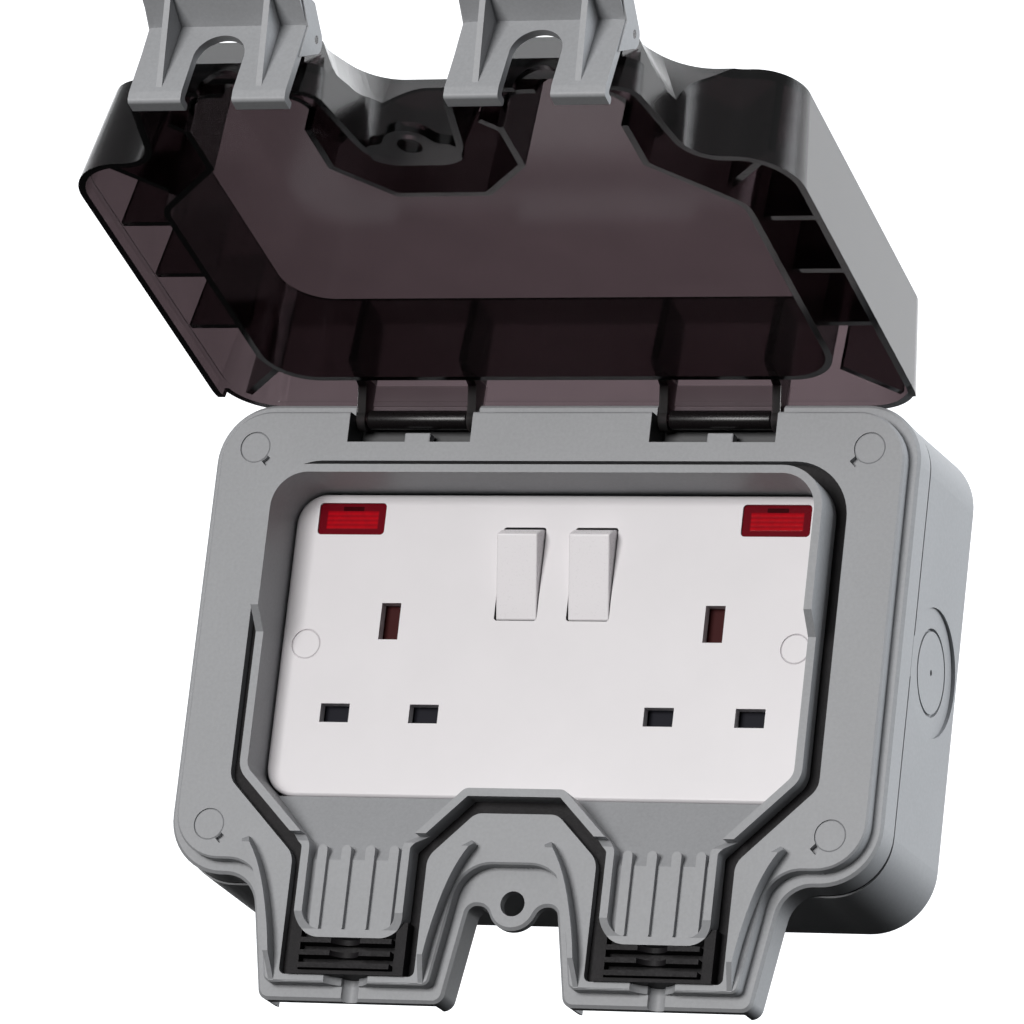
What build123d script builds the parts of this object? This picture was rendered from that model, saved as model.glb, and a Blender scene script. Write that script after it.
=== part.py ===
from build123d import *
import os
from math import atan, degrees, radians, tan

os.makedirs("parts", exist_ok=True)

# Front view: X to the right, Z up. Heights are measured from the wall towards the viewer.
# Socket layout
gang_x = 40.0
pin_offset = 11.1
live_z = -16.5
earth_z = live_z + 22.2
plate_w = 133.0
plate_h = 73.0
plate_corner = 7.2
fixing_x = 60.3

# Heights in front of the wall
box_depth = 31.0
box_half = 57.0
seal_thick = 0.6
frame_back = box_depth + seal_thick
plate_front = 35.5
rim_front = plate_front + 3.9
face_front = rim_front + 3.6
lip_low = face_front + 3.0
lip_high = face_front + 8.0
rib_top = face_front + 3.9
channel_floor = face_front - 5.5
gasket_top = channel_floor + 3.1

# Wall thicknesses and clearances
wall = 2.4
lip_wall = 1.9
channel_w = 3.3
running = 0.05
lid_gap = 0.3
slide_gap = 0.25

# Frame outline
frame_w = 174.0
frame_top = 57.1
frame_low = -56.5
frame_corner = 14.0
outlet_x = 37.35
outlet_low = -85.9
outlet_half = 22.6
flare = 0.1725
step_in = 2.6
lock_z = -62.1
lock_r = 2.95
cap_x = 75.9
cap_z = 45.6
cap_r = 3.8
tower_r = 5.2

# Window and gasket line
window_x = 66.85
window_top = 37.2
tongue_z = -36.7
tongue_x = 12.1
shoulder_z = -32.5
throat_z = -50.2
throat_half = 11.5
sill_z = -70.2
pocket_low = -80.7

# Lid hinge
hinge_height = 37.8
hinge_z = 53.9
hinge_pin_r = 1.2
barrel_r = 2.7
notch_x0 = 22.1
notch_x1 = 52.9
notch_low = 47.0
notch_floor = 34.2
lid_open = 102.9

# Lid shell
lid_edge = rim_front + lid_gap
lid_depth = 24.8
lid_wall = 1.7
lid_panel = 2.2
lid_draft = 8.0
inner_wall = 1.6
lid_front = lid_edge + lid_depth
lid_inside = lid_front - lid_panel
leg_draft = 33.0
leg_bend = -63.1
leg_top_half = 13.2
lid_draw = lid_depth * tan(radians(lid_draft))

# Latch
latch_height = 54.9
latch_z = -82.1
latch_half = 19.1
ear_wall = 1.8
latch_stub_r = 0.95
latch_swing = 1.5

# Rocker switch
rocker_x = 8.9
rocker_z = 17.35
rocker_height = 33.0
rocker_r = 11.0
rocker_w = 10.1
rocker_tilt = 15.5
rocker_pin_r = 1.4

# Neon windows
neon_x = 52.5
neon_z = 30.5
neon_w = 16.8
neon_h = 7.7

# Wall fixings and cable entry in the back of the box
wall_hole_x = 100.0
wall_hole_z = 76.0
wall_hole_r = 2.5
entry_r = 10.0
entry_z = -42.0

# Details shared by more than one piece
hook_half = 20.4
hook_back = rim_front - 2.8
tab_thick = 2.5
screw_seat = 36.4
screw_r = 1.75
hinge_pin_l = 36.8
hinge_clear = 42.2
seal_half = 14.3
seal_head = -68.2
fin_top = 45.5
fin_pitch = 2.95
cable_r = 6.1
wall_edge = gasket_top + 0.4
arm_wall = 2.1
cheek_half = 17.0
cheek_r = 3.1
fork_half = 6.1
bow_r = 37.0
plate_wall = 2.6
plate_back = 29.0
fixing_seat = 32.2
fixing_cap_r = 3.65
fixing_r = 1.6
shutter_half = 16.0
shutter_back = 30.0
rocker_face = 4.68
rocker_pin_l = 14.4
cover_back = 9.0
cover_half = 58.0
cover_low = -32.0
cover_shoulder = 25.2
cover_top = 34.2
cover_rim = 29.6
cover_screw_z = -8.0
strip = 1.2
leaf = 0.8
leaf_top = 28.5
terminals = [(0.0, earth_z + 4.0), (-pin_offset + 8.0, live_z - 7.0), (0.0, rocker_z + 11.0)]


def front(height):
    return Plane.XZ.offset(height)


def mirrored(half):
    left = [(-x, z, r) for x, z, r in reversed(half)]
    return half + left


def about_outlet(x):
    return 2 * outlet_x - x


def loop(half):
    rows = mirrored(half)
    with BuildSketch() as shape:
        with BuildLine():
            FilletPolyline(
                *[(x, z) for x, z, r in rows],
                radius=[r for x, z, r in rows],
                close=True,
            )
        make_face()
    return shape.sketch


def about(height, z, points):
    return [(back - height, up + z) for back, up in points]


def grown(sketch, amount):
    with BuildSketch() as shape:
        add(sketch)
        offset(amount=amount)
    return shape.sketch


# Outlines in the front view, right half from the top round to the bottom centre
hw = frame_w / 2
foot_x = outlet_x + outlet_half
knee_x = foot_x + flare * (frame_low - outlet_low)
tab_x = about_outlet(foot_x + flare * (lock_z - 0.5 - outlet_low))
tab_end = [
    (tab_x, lock_z - 0.5, 2.2),
    (6.6, lock_z - 0.5, 3.0),
    (3.7, lock_z - 6.2, 5.9),
]
body = [
    (hw, frame_top, frame_corner),
    (hw, frame_low, frame_corner),
    (knee_x, frame_low, 8.0),
    (foot_x, outlet_low, 2.8),
    (about_outlet(foot_x), outlet_low, 2.8),
]
rim_line = loop(body + tab_end)
body_line = loop(body + [(about_outlet(knee_x), frame_low, 8.0)])

face_low = outlet_low + 3.4
face_knee_z = frame_low + 2.8
face_foot = foot_x - 2.4
face_knee = face_foot + flare * (face_knee_z - face_low)
face_line = loop(
    [
        (hw - step_in, frame_top - 2.7, 12.0),
        (hw - step_in, face_knee_z, 11.5),
        (face_knee, face_knee_z, 9.0),
        (face_foot, face_low, 1.8),
        (about_outlet(face_foot), face_low, 1.8),
        (about_outlet(face_knee), face_knee_z, 9.0),
    ]
)

throat_out = outlet_x + throat_half
throat_in = outlet_x - throat_half
window_line = loop(
    [
        (window_x, window_top, 8.5),
        (window_x, shoulder_z, 4.0),
        (throat_out, throat_z, 3.0),
        (throat_out, sill_z, 4.0),
        (throat_in, sill_z, 4.0),
        (throat_in, throat_z, 3.0),
        (tongue_x, tongue_z, 2.5),
    ]
)
lip_line = grown(window_line, lip_wall)

reach = lip_wall + channel_w
gasket_line = loop(
    [
        (window_x + reach, window_top + reach, 8.5 + reach),
        (window_x + reach, shoulder_z - 2.1, 5.0),
        (throat_out + reach, throat_z - 2.2, 5.0),
        (throat_out + reach, pocket_low, 1.5),
        (throat_in - reach, pocket_low, 1.5),
        (throat_in - reach, throat_z - 2.2, 5.0),
        (tongue_x - 2.1, tongue_z - reach, 4.0),
    ]
)

# Back box
with BuildPart() as back_box:
    box_grow = 0.8
    with BuildSketch(front(0)):
        RectangleRounded(frame_w + 2 * box_grow, 2 * (box_half + box_grow), frame_corner + box_grow)
    extrude(amount=box_depth, taper=degrees(atan(box_grow / box_depth)))
    chamfer(back_box.faces().sort_by(Axis.Y)[-1].edges(), 0.8)
    with BuildSketch(front(wall)):
        RectangleRounded(frame_w - 2 * wall, 2 * (box_half - wall), frame_corner - wall)
    extrude(amount=box_depth, mode=Mode.SUBTRACT)
    with BuildSketch(front(wall)):
        with GridLocations(2 * cap_x, 2 * cap_z, 2, 2):
            Circle(5.0)
    extrude(amount=box_depth - wall)
    with BuildSketch(front(12.0)):
        with GridLocations(2 * cap_x, 2 * cap_z, 2, 2):
            Circle(screw_r)
    extrude(amount=box_depth, mode=Mode.SUBTRACT)
    with BuildSketch(front(wall)):
        with Locations((-fixing_x, 0), (fixing_x, 0)):
            Circle(4.5)
    extrude(amount=plate_back - wall)
    with BuildSketch(front(12.0)):
        with Locations((-fixing_x, 0), (fixing_x, 0)):
            Circle(fixing_r)
    extrude(amount=box_depth, mode=Mode.SUBTRACT)
    with BuildSketch(front(0)):
        with GridLocations(wall_hole_x, wall_hole_z, 2, 2):
            Circle(2 * wall_hole_r)
        with Locations((0, entry_z)):
            Circle(entry_r + 2.0)
    extrude(amount=4.0)
    with BuildSketch(front(0)):
        with GridLocations(wall_hole_x, wall_hole_z, 2, 2):
            Circle(wall_hole_r)
        with Locations((0, entry_z)):
            Circle(entry_r)
    extrude(amount=6.0, mode=Mode.SUBTRACT)
    for sx in (-1, 1):
        knock = Plane(origin=(sx * (hw - 0.15), -16.8, 0), x_dir=(0, 1, 0), z_dir=(sx, 0, 0))
        with BuildSketch(knock):
            Circle(15.0)
        extrude(amount=3.0, mode=Mode.SUBTRACT)
        with BuildSketch(knock):
            Circle(10.2)
            Circle(9.5, mode=Mode.SUBTRACT)
            Circle(0.7)
        extrude(amount=-0.9, mode=Mode.SUBTRACT)
back_box.part.label = "back_box"
export_step(back_box.part, "parts/back_box.step")

# Rubber seal between box and frame
with BuildPart() as box_seal:
    with BuildSketch(front(box_depth)):
        RectangleRounded(frame_w - 0.8, 2 * box_half - 0.8, frame_corner - 0.4)
        RectangleRounded(frame_w - 4.4, 2 * box_half - 4.4, frame_corner - 2.2, mode=Mode.SUBTRACT)
    extrude(amount=seal_thick)
box_seal.part.label = "box_seal"
export_step(box_seal.part, "parts/box_seal.step")

# Floors of the two cable outlets, rising from the plate edge
floor_top = face_front
with BuildPart() as outlet_floor:
    with BuildSketch(Plane.YZ):
        with BuildLine():
            Polyline(
                (-plate_front, tongue_z + 0.2),
                (-floor_top, tongue_z - 16.8),
                (-floor_top, sill_z - 1.0),
                (-floor_top + 2.4, sill_z - 1.0),
                (-floor_top + 2.4, tongue_z - 17.4),
                (-plate_front + 2.4, tongue_z + 0.2),
                close=True,
            )
        make_face()
    extrude(amount=hw, both=True)
    with BuildSketch(front(0)):
        add(window_line)
        with Locations((0, 0)):
            Rectangle(2 * hw, -2 * tongue_z, mode=Mode.SUBTRACT)
    extrude(amount=60.0, mode=Mode.INTERSECT)

# Front frame: rim, raised face, gasket channel, window lip and cable outlets
with BuildPart() as front_frame:
    with BuildSketch(front(frame_back)):
        add(rim_line)
    extrude(amount=rim_front - frame_back)
    chamfer(front_frame.faces().sort_by(Axis.Y)[0].edges(), 0.7)
    with BuildSketch(front(rim_front - 1.0)):
        add(face_line)
    extrude(amount=face_front - rim_front + 1.0)
    chamfer(front_frame.faces().sort_by(Axis.Y)[0].edges(), 0.45)
    with BuildSketch(front(frame_back)):
        add(grown(body_line, -wall))
    extrude(amount=rim_front - wall - frame_back, mode=Mode.SUBTRACT)
    with BuildSketch(front(rim_front - wall)):
        add(grown(face_line, -wall))
    extrude(amount=face_front - rim_front, mode=Mode.SUBTRACT)
    # trough for the gasket
    with BuildSketch(front(channel_floor - 2.0)):
        add(grown(gasket_line, 1.6))
    extrude(amount=face_front - channel_floor + 1.9)
    with BuildSketch(front(channel_floor)):
        add(gasket_line)
    extrude(amount=20.0, mode=Mode.SUBTRACT)
    # wall over the lower edge of the box
    with BuildSketch(front(frame_back)):
        with Locations((0, -box_half)):
            Rectangle(2 * knee_x, wall, align=(Align.CENTER, Align.MIN))
    extrude(amount=channel_floor - frame_back - 1.0)
    # window lip, high round the upper half and low round the outlets
    with BuildSketch(front(frame_back + 2.0)):
        add(lip_line)
    extrude(amount=lip_high - frame_back - 2.0)
    with BuildSketch(Plane.YZ):
        with BuildLine():
            Polyline(
                (-lip_low, -100.0),
                (-lip_low, -0.1),
                (-lip_high, 5.0),
                (-lip_high - 5.0, 5.0),
                (-lip_high - 5.0, -100.0),
                close=True,
            )
        make_face()
    extrude(amount=hw, both=True, mode=Mode.SUBTRACT)
    with BuildSketch(Plane.YZ):
        with BuildLine():
            Polyline(
                (-lip_low - 1.0, sill_z + 3.7),
                (-lip_low, sill_z + 3.7),
                (-face_front - 1.2, sill_z),
                (-face_front - 1.2, sill_z - 4.0),
                (-lip_low - 1.0, sill_z - 4.0),
                close=True,
            )
        make_face()
    extrude(amount=hw, both=True, mode=Mode.SUBTRACT)
    with BuildSketch(front(frame_back)):
        add(window_line)
    extrude(amount=30.0, mode=Mode.SUBTRACT)
    add(outlet_floor.part)
    # ribs on the outlet floors
    for sx in (-1, 1):
        with BuildSketch(front(floor_top - 2.2)):
            for k in (-1.5, -0.5, 0.5, 1.5):
                with Locations((sx * outlet_x + 5.9 * k, (throat_z + sill_z) / 2 - 0.3)):
                    SlotOverall(throat_z - sill_z + 0.5, 2.3, rotation=90)
        extrude(amount=3.4)
    # curved water ribs beside the outlets, sloped off at both ends
    for sx in (-1, 1):
        for flip in (False, True):
            inner = [(65.0, -48.6), (60.6, -56.3), (57.9, -65.0), (56.2, -73.3), (55.2, -82.2)]
            outer = [(66.1, -49.6), (61.8, -57.2), (59.2, -65.4), (57.5, -73.3), (56.4, -82.2)]
            if flip:
                inner = [(about_outlet(x), z) for x, z in inner]
                outer = [(about_outlet(x), z) for x, z in outer]
            inner = [(sx * x, z) for x, z in inner]
            outer = [(sx * x, z) for x, z in outer]
            with BuildSketch(front(face_front - 0.5)):
                with BuildLine():
                    Spline(*inner)
                    Line(inner[-1], outer[-1])
                    Spline(*reversed(outer))
                    Line(outer[0], inner[0])
                make_face()
            extrude(amount=rib_top - face_front + 0.5)
    with BuildSketch(Plane.YZ):
        with BuildLine():
            Polyline(
                (-rib_top - 1.0, -76.2),
                (-rib_top, -76.2),
                (-face_front, -82.0),
                (-face_front, -90.0),
                (-rib_top - 1.0, -90.0),
                close=True,
            )
        make_face()
        with BuildLine():
            Polyline(
                (-rib_top - 1.0, -50.6),
                (-rib_top, -50.6),
                (-face_front, -47.6),
                (-rib_top - 1.0, -47.6),
                close=True,
            )
        make_face()
    extrude(amount=hw, both=True, mode=Mode.SUBTRACT)
    # cable rest in the sill and groove through the rim
    for sx in (-1, 1):
        with BuildSketch(Plane.XY.offset(face_low - 0.7)):
            with Locations((sx * outlet_x, -face_front - 2.7)):
                Circle(cable_r)
        extrude(amount=pocket_low - face_low + 0.9, mode=Mode.SUBTRACT)
        with BuildSketch(Plane.XY.offset(outlet_low - 0.5)):
            with Locations((sx * outlet_x, -rim_front - 0.4)):
                Circle(2.15)
        extrude(amount=pocket_low - outlet_low + 0.7, mode=Mode.SUBTRACT)
    # undercut behind the lower edge for the latch hooks
    for sx in (-1, 1):
        with BuildSketch(front(frame_back - 1.0)):
            with Locations((sx * outlet_x, outlet_low - 1.0)):
                Rectangle(2 * hook_half, 4.0, align=(Align.CENTER, Align.MIN))
        extrude(amount=hook_back - frame_back + 1.0, mode=Mode.SUBTRACT)
    # padlock tab
    with BuildSketch(front(frame_back - 1.0)):
        with Locations((0, -57.3)):
            Rectangle(17.2, 12.0, align=(Align.CENTER, Align.MAX))
    extrude(amount=rim_front - tab_thick - frame_back + 1.0, mode=Mode.SUBTRACT)
    with BuildSketch(front(frame_back)):
        with Locations((0, lock_z)):
            Circle(lock_r)
    extrude(amount=20.0, mode=Mode.SUBTRACT)
    # corner screw towers with capped recesses
    with BuildSketch(front(frame_back)):
        with GridLocations(2 * cap_x, 2 * cap_z, 2, 2):
            Circle(tower_r)
    extrude(amount=face_front - frame_back - 0.2)
    with BuildSketch(front(frame_back)):
        with GridLocations(2 * cap_x, 2 * cap_z, 2, 2):
            Circle(2.1)
    extrude(amount=20.0, mode=Mode.SUBTRACT)
    with BuildSketch(front(screw_seat)):
        with GridLocations(2 * cap_x, 2 * cap_z, 2, 2):
            Circle(cap_r)
    extrude(amount=20.0, mode=Mode.SUBTRACT)
    with BuildSketch(front(face_front - 1.6)):
        for sx in (-1, 1):
            for sz in (-1, 1):
                with Locations((sx * (cap_x - 2.9), sz * cap_z - 2.9)):
                    Rectangle(2.0, 2.6, rotation=-45 * sx)
    extrude(amount=5.0, mode=Mode.SUBTRACT)
    # hinge bays along the top edge
    for sx in (-1, 1):
        with BuildSketch(front(notch_floor - 2.1)):
            with Locations((sx * (notch_x0 + notch_x1) / 2, window_top + reach + 1.0)):
                Rectangle(
                    notch_x1 - notch_x0 + 10.2,
                    frame_top - window_top - reach - 3.9,
                    align=(Align.CENTER, Align.MIN),
                )
        extrude(amount=face_front - notch_floor + 1.9)
    for sx in (-1, 1):
        with BuildSketch(front(notch_floor)):
            with Locations((sx * (notch_x0 + notch_x1) / 2, notch_low)):
                Rectangle(notch_x1 - notch_x0, 20.0, align=(Align.CENTER, Align.MIN))
        extrude(amount=20.0, mode=Mode.SUBTRACT)
        with BuildSketch(front(notch_floor - 0.1)):
            with Locations((sx * (notch_x0 + notch_x1) / 2, notch_low + 2.1)):
                RectangleRounded(6.6, 1.8, 0.6)
        extrude(amount=0.9)
        with BuildSketch(Plane.YZ.offset(sx * (notch_x0 + notch_x1) / 2)):
            with Locations((-hinge_height, hinge_z)):
                Circle(hinge_pin_r)
        extrude(amount=hinge_pin_l / 2, both=True, mode=Mode.SUBTRACT)
front_frame.part.label = "front_frame"
export_step(front_frame.part, "parts/front_frame.step")

# Rubber gasket in the channel
with BuildPart() as lid_seal:
    with BuildSketch(front(channel_floor)):
        add(gasket_line)
        add(lip_line, mode=Mode.SUBTRACT)
        with Locations((-outlet_x, seal_head), (outlet_x, seal_head)):
            Rectangle(2 * seal_half, 30.0, align=(Align.CENTER, Align.MAX), mode=Mode.SUBTRACT)
    extrude(amount=gasket_top - channel_floor)
lid_seal.part.label = "lid_seal"
export_step(lid_seal.part, "parts/lid_seal.step")

# Cable seals: a rubber block with three fins in each outlet
for side, sx in (("left", -1), ("right", 1)):
    with BuildPart() as cable_seal:
        with BuildSketch(front(channel_floor)):
            with Locations((sx * outlet_x, pocket_low)):
                Rectangle(2 * seal_half, seal_head - pocket_low, align=(Align.CENTER, Align.MIN))
            add(lip_line, mode=Mode.SUBTRACT)
        extrude(amount=4.0)
        with BuildSketch(front(channel_floor + 3.9)):
            for k in (-1, 1):
                with Locations((sx * outlet_x + k * (seal_half - 1.3), pocket_low)):
                    Rectangle(2.6, seal_head - pocket_low, align=(Align.CENTER, Align.MIN))
            with Locations((sx * outlet_x, pocket_low)):
                Rectangle(2 * seal_half, 0.9, align=(Align.CENTER, Align.MIN))
            add(lip_line, mode=Mode.SUBTRACT)
        extrude(amount=2.6)
        with BuildSketch(front(channel_floor + 3.9)):
            for k in range(3):
                with Locations((sx * outlet_x, sill_z - 2.9 - fin_pitch * k)):
                    Rectangle(2 * throat_half - 0.4, 1.2)
        extrude(amount=fin_top - channel_floor - 3.9)
        with BuildSketch(Plane.XY.offset(sill_z - 2.9 - 1.5 * fin_pitch)):
            with Locations((sx * outlet_x, -fin_top - 1.2)):
                Circle(3.8)
        extrude(amount=6.0, mode=Mode.SUBTRACT)
    cable_seal.part.label = side + "_cable_seal"
    export_step(cable_seal.part, "parts/" + side + "_cable_seal.step")

# Frame screws and the caps over them
with BuildPart() as frame_screws:
    with BuildSketch(front(screw_seat)):
        with GridLocations(2 * cap_x, 2 * cap_z, 2, 2):
            Circle(cap_r - 0.3)
    extrude(amount=2.4)
    with BuildSketch(front(screw_seat)):
        with GridLocations(2 * cap_x, 2 * cap_z, 2, 2):
            Circle(screw_r)
    extrude(amount=-22.0)
    with BuildSketch(front(screw_seat + 1.0)):
        for sx in (-1, 1):
            for sz in (-1, 1):
                with Locations((sx * cap_x, sz * cap_z)):
                    Rectangle(4.0, 0.9)
                    Rectangle(0.9, 4.0)
    extrude(amount=3.0, mode=Mode.SUBTRACT)
frame_screws.part.label = "frame_screws"
export_step(frame_screws.part, "parts/frame_screws.step")

with BuildPart() as frame_screw_caps:
    with BuildSketch(front(face_front - 2.4)):
        with GridLocations(2 * cap_x, 2 * cap_z, 2, 2):
            Circle(cap_r)
    extrude(amount=2.3)
    chamfer(frame_screw_caps.faces().group_by(Axis.Y)[0].edges(), 0.35)
frame_screw_caps.part.label = "frame_screw_caps"
export_step(frame_screw_caps.part, "parts/frame_screw_caps.step")

for side, sx in (("left", -1), ("right", 1)):
    with BuildPart() as hinge_pin:
        with BuildSketch(Plane.YZ.offset(sx * (notch_x0 + notch_x1) / 2)):
            with Locations((-hinge_height, hinge_z)):
                Circle(hinge_pin_r)
        extrude(amount=hinge_pin_l / 2, both=True)
    hinge_pin.part.label = side + "_hinge_pin"
    export_step(hinge_pin.part, "parts/" + side + "_hinge_pin.step")

# Lid, drawn shut
leg_low = outlet_low + 0.9
leg_foot = foot_x - 0.1
lid_line = loop(
    [
        (hw - lid_gap, frame_top - lid_gap, frame_corner - lid_gap),
        (hw - lid_gap, frame_low + lid_gap, frame_corner - lid_gap),
        (knee_x - lid_gap, frame_low + lid_gap, 8.0 + lid_gap),
        (leg_foot, leg_low, 5.4),
        (about_outlet(leg_foot), leg_low, 5.4),
        (about_outlet(knee_x - lid_gap), frame_low + lid_gap, 8.0 + lid_gap),
    ]
)

# Space beside the legs, widest at the front face, that narrows their tops
top_low = frame_low + lid_gap + lid_draw
knee_top = outlet_x + leg_top_half + 0.62 * (top_low - leg_bend)
back_view = Plane(origin=(0, -lid_front, 0), x_dir=(1, 0, 0), z_dir=(0, 1, 0))
beside = [
    (knee_top, -top_low + 0.4, 15.0),
    (outlet_x + leg_top_half, -leg_bend, 6.0),
    (outlet_x + leg_top_half - 0.6, 140.0, 0.0),
    (150.0, 140.0, 0.0),
    (150.0, -top_low + 0.4, 0.0),
]
middle = [
    (about_outlet(knee_top), -top_low - 2.0, 13.0),
    (outlet_x - leg_top_half, -leg_bend, 6.0),
    (outlet_x - leg_top_half + 0.6, 140.0, 0.0),
]


def leg_sides(grow):
    rows = [beside, [(-x, z, r) for x, z, r in beside], mirrored(middle)]
    with BuildPart() as space:
        for outline in rows:
            with BuildSketch(back_view):
                with BuildLine():
                    FilletPolyline(
                        *[(x, z) for x, z, r in outline],
                        radius=[r for x, z, r in outline],
                        close=True,
                    )
                make_face()
                if grow:
                    offset(amount=grow)
            extrude(amount=lid_depth, taper=leg_draft)
    return space.part


def roof(drop):
    return [
        (-48.0 + drop, -95.0),
        (-48.0 + drop, -79.5 + 0.45 * drop),
        (-71.1 + drop, -62.0 + 0.45 * drop),
        (-71.1 + drop, -95.0),
    ]


with BuildPart() as lid_hollow:
    with BuildSketch(front(lid_edge)):
        add(grown(lid_line, -lid_wall))
    extrude(amount=lid_inside - lid_edge, taper=lid_draft)
    add(leg_sides(lid_wall * 1.1), mode=Mode.SUBTRACT)
    with BuildSketch(Plane.YZ):
        with BuildLine():
            Polyline(*roof(2.0), close=True)
        make_face()
    extrude(amount=hw, both=True, mode=Mode.SUBTRACT)
    with BuildSketch(front(lid_edge)):
        add(grown(face_line, lid_gap))
    extrude(amount=face_front + lid_gap - lid_edge)

with BuildPart() as lid_walls:
    with BuildSketch(front(wall_edge)):
        add(grown(window_line, lip_wall + 0.4 + inner_wall))
        add(grown(window_line, lip_wall + 0.4), mode=Mode.SUBTRACT)
    extrude(amount=lid_front - wall_edge)
    for sx in (-1, 1):
        with BuildSketch(front(wall_edge - 1.0)):
            with Locations((sx * outlet_x, seal_head + 1.0)):
                Rectangle(40.0, 30.0, align=(Align.CENTER, Align.MAX))
        extrude(amount=fin_top + 0.8 - wall_edge + 1.0, mode=Mode.SUBTRACT)
        with BuildSketch(Plane.XY.offset(sill_z + 1.0)):
            with Locations((sx * outlet_x, -fin_top)):
                Circle(5.4)
        extrude(amount=-20.0, mode=Mode.SUBTRACT)
    with BuildSketch(front(face_front + 0.5)):
        for z in (-24.5, -2.2, 20.6):
            with Locations((-77.6, z), (77.6, z)):
                Rectangle(14.6, lid_wall)
        for sx in (-1, 1):
            with Locations((sx * 76.6, window_top + 9.7)):
                Rectangle(19.6, lid_wall, rotation=45 * sx)
            with Locations((sx * 74.3, -45.3)):
                Rectangle(22.2, lid_wall, rotation=-45 * sx)
    extrude(amount=lid_front - face_front - 0.5)
    with BuildSketch(front(rib_top + 0.5)):
        for sx in (-1, 1):
            for x in (56.6, about_outlet(56.6)):
                with Locations((sx * x, -56.0)):
                    Rectangle(11.0, lid_wall, rotation=-45 * sx if x > outlet_x else 45 * sx)
    extrude(amount=lid_front - rib_top - 0.5)

with BuildPart() as lid_shell:
    with BuildSketch(front(lid_edge)):
        add(lid_line)
    extrude(amount=lid_depth, taper=lid_draft)
    add(leg_sides(0.0), mode=Mode.SUBTRACT)
    with BuildSketch(Plane.YZ):
        with BuildLine():
            Polyline(*roof(0.0), close=True)
        make_face()
    extrude(amount=hw, both=True, mode=Mode.SUBTRACT)
    # cheeks with stub axles for the latches
    for sx in (-1, 1):
        for k in (-1, 1):
            with BuildSketch(Plane.YZ.offset(sx * outlet_x + k * (cheek_half - 1.1))):
                with Locations((-latch_height, latch_z)):
                    Circle(cheek_r)
                with BuildLine():
                    Polyline(
                        (-latch_height + 3.0, latch_z - 0.4),
                        (-latch_height - 2.9, latch_z - 0.6),
                        (-57.6, -73.0),
                        (-46.6, -79.8),
                        close=True,
                    )
                make_face()
            extrude(amount=1.1, both=True)
            with BuildSketch(Plane.YZ.offset(sx * outlet_x + k * (cheek_half - 0.2))):
                with Locations((-latch_height, latch_z)):
                    Circle(latch_stub_r)
            extrude(amount=k * (latch_half - cheek_half + 0.2))
lid_block = lid_shell.part

with BuildPart() as lid:
    add(lid_block)
    add(lid_hollow.part, mode=Mode.SUBTRACT)
    add(lid_walls.part & lid_block)
    # clear of the frame along the hinge side
    with BuildSketch(front(lid_edge - 1.0)):
        with Locations((0, notch_low - 0.5)):
            Rectangle(2 * hw, 20.0, align=(Align.CENTER, Align.MIN))
    extrude(amount=hinge_clear - lid_edge + 1.0, mode=Mode.SUBTRACT)
    # cable arches in the leg ends
    for sx in (-1, 1):
        with BuildSketch(Plane.XY.offset(pocket_low - 1.0)):
            with Locations((sx * outlet_x, -lid_edge - 0.8)):
                Circle(5.4)
        extrude(amount=-10.0, mode=Mode.SUBTRACT)
    # padlock tab
    with BuildSketch(front(lid_edge)):
        with BuildLine():
            tab = [(tab_x, -54.0, 0.0)] + tab_end
            FilletPolyline(
                *[(x, z) for x, z, r in mirrored(tab)],
                radius=[r for x, z, r in mirrored(tab)],
                close=True,
            )
        make_face()
        add(grown(face_line, lid_gap), mode=Mode.SUBTRACT)
        with Locations((0, lock_z)):
            Circle(lock_r, mode=Mode.SUBTRACT)
    extrude(amount=tab_thick)
    # hinge arms
    for sx in (-1, 1):
        for x in (notch_x0 + 1.65, notch_x1 - 1.55):
            with BuildSketch(Plane.YZ.offset(sx * x)):
                with Locations((-hinge_height, hinge_z)):
                    Circle(barrel_r)
                with BuildLine():
                    Polyline(
                        (-38.2, 51.25),
                        (-44.0, 48.6),
                        (-46.0, 40.5),
                        (-lid_inside - 0.5, 40.5),
                        (-lid_inside - 0.5, 52.4),
                        (-45.0, 55.2),
                        (-39.6, 55.9),
                        close=True,
                    )
                make_face()
                with Locations((-hinge_height, hinge_z)):
                    Circle(hinge_pin_r + running, mode=Mode.SUBTRACT)
            extrude(amount=arm_wall / 2, both=True)
        with BuildSketch(front(hinge_height - 1.3)):
            with Locations((sx * (notch_x0 + notch_x1) / 2, hinge_z + hinge_pin_r + 0.2)):
                Rectangle(notch_x1 - notch_x0 - 1.2, 1.0, align=(Align.CENTER, Align.MIN))
        extrude(amount=6.8)
hinge_axis = Axis((0, -hinge_height, hinge_z), (1, 0, 0))
lid_up = lid.part.rotate(hinge_axis, -lid_open)
lid_up.label = "lid"
export_step(lid_up, "parts/lid.step")

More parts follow.
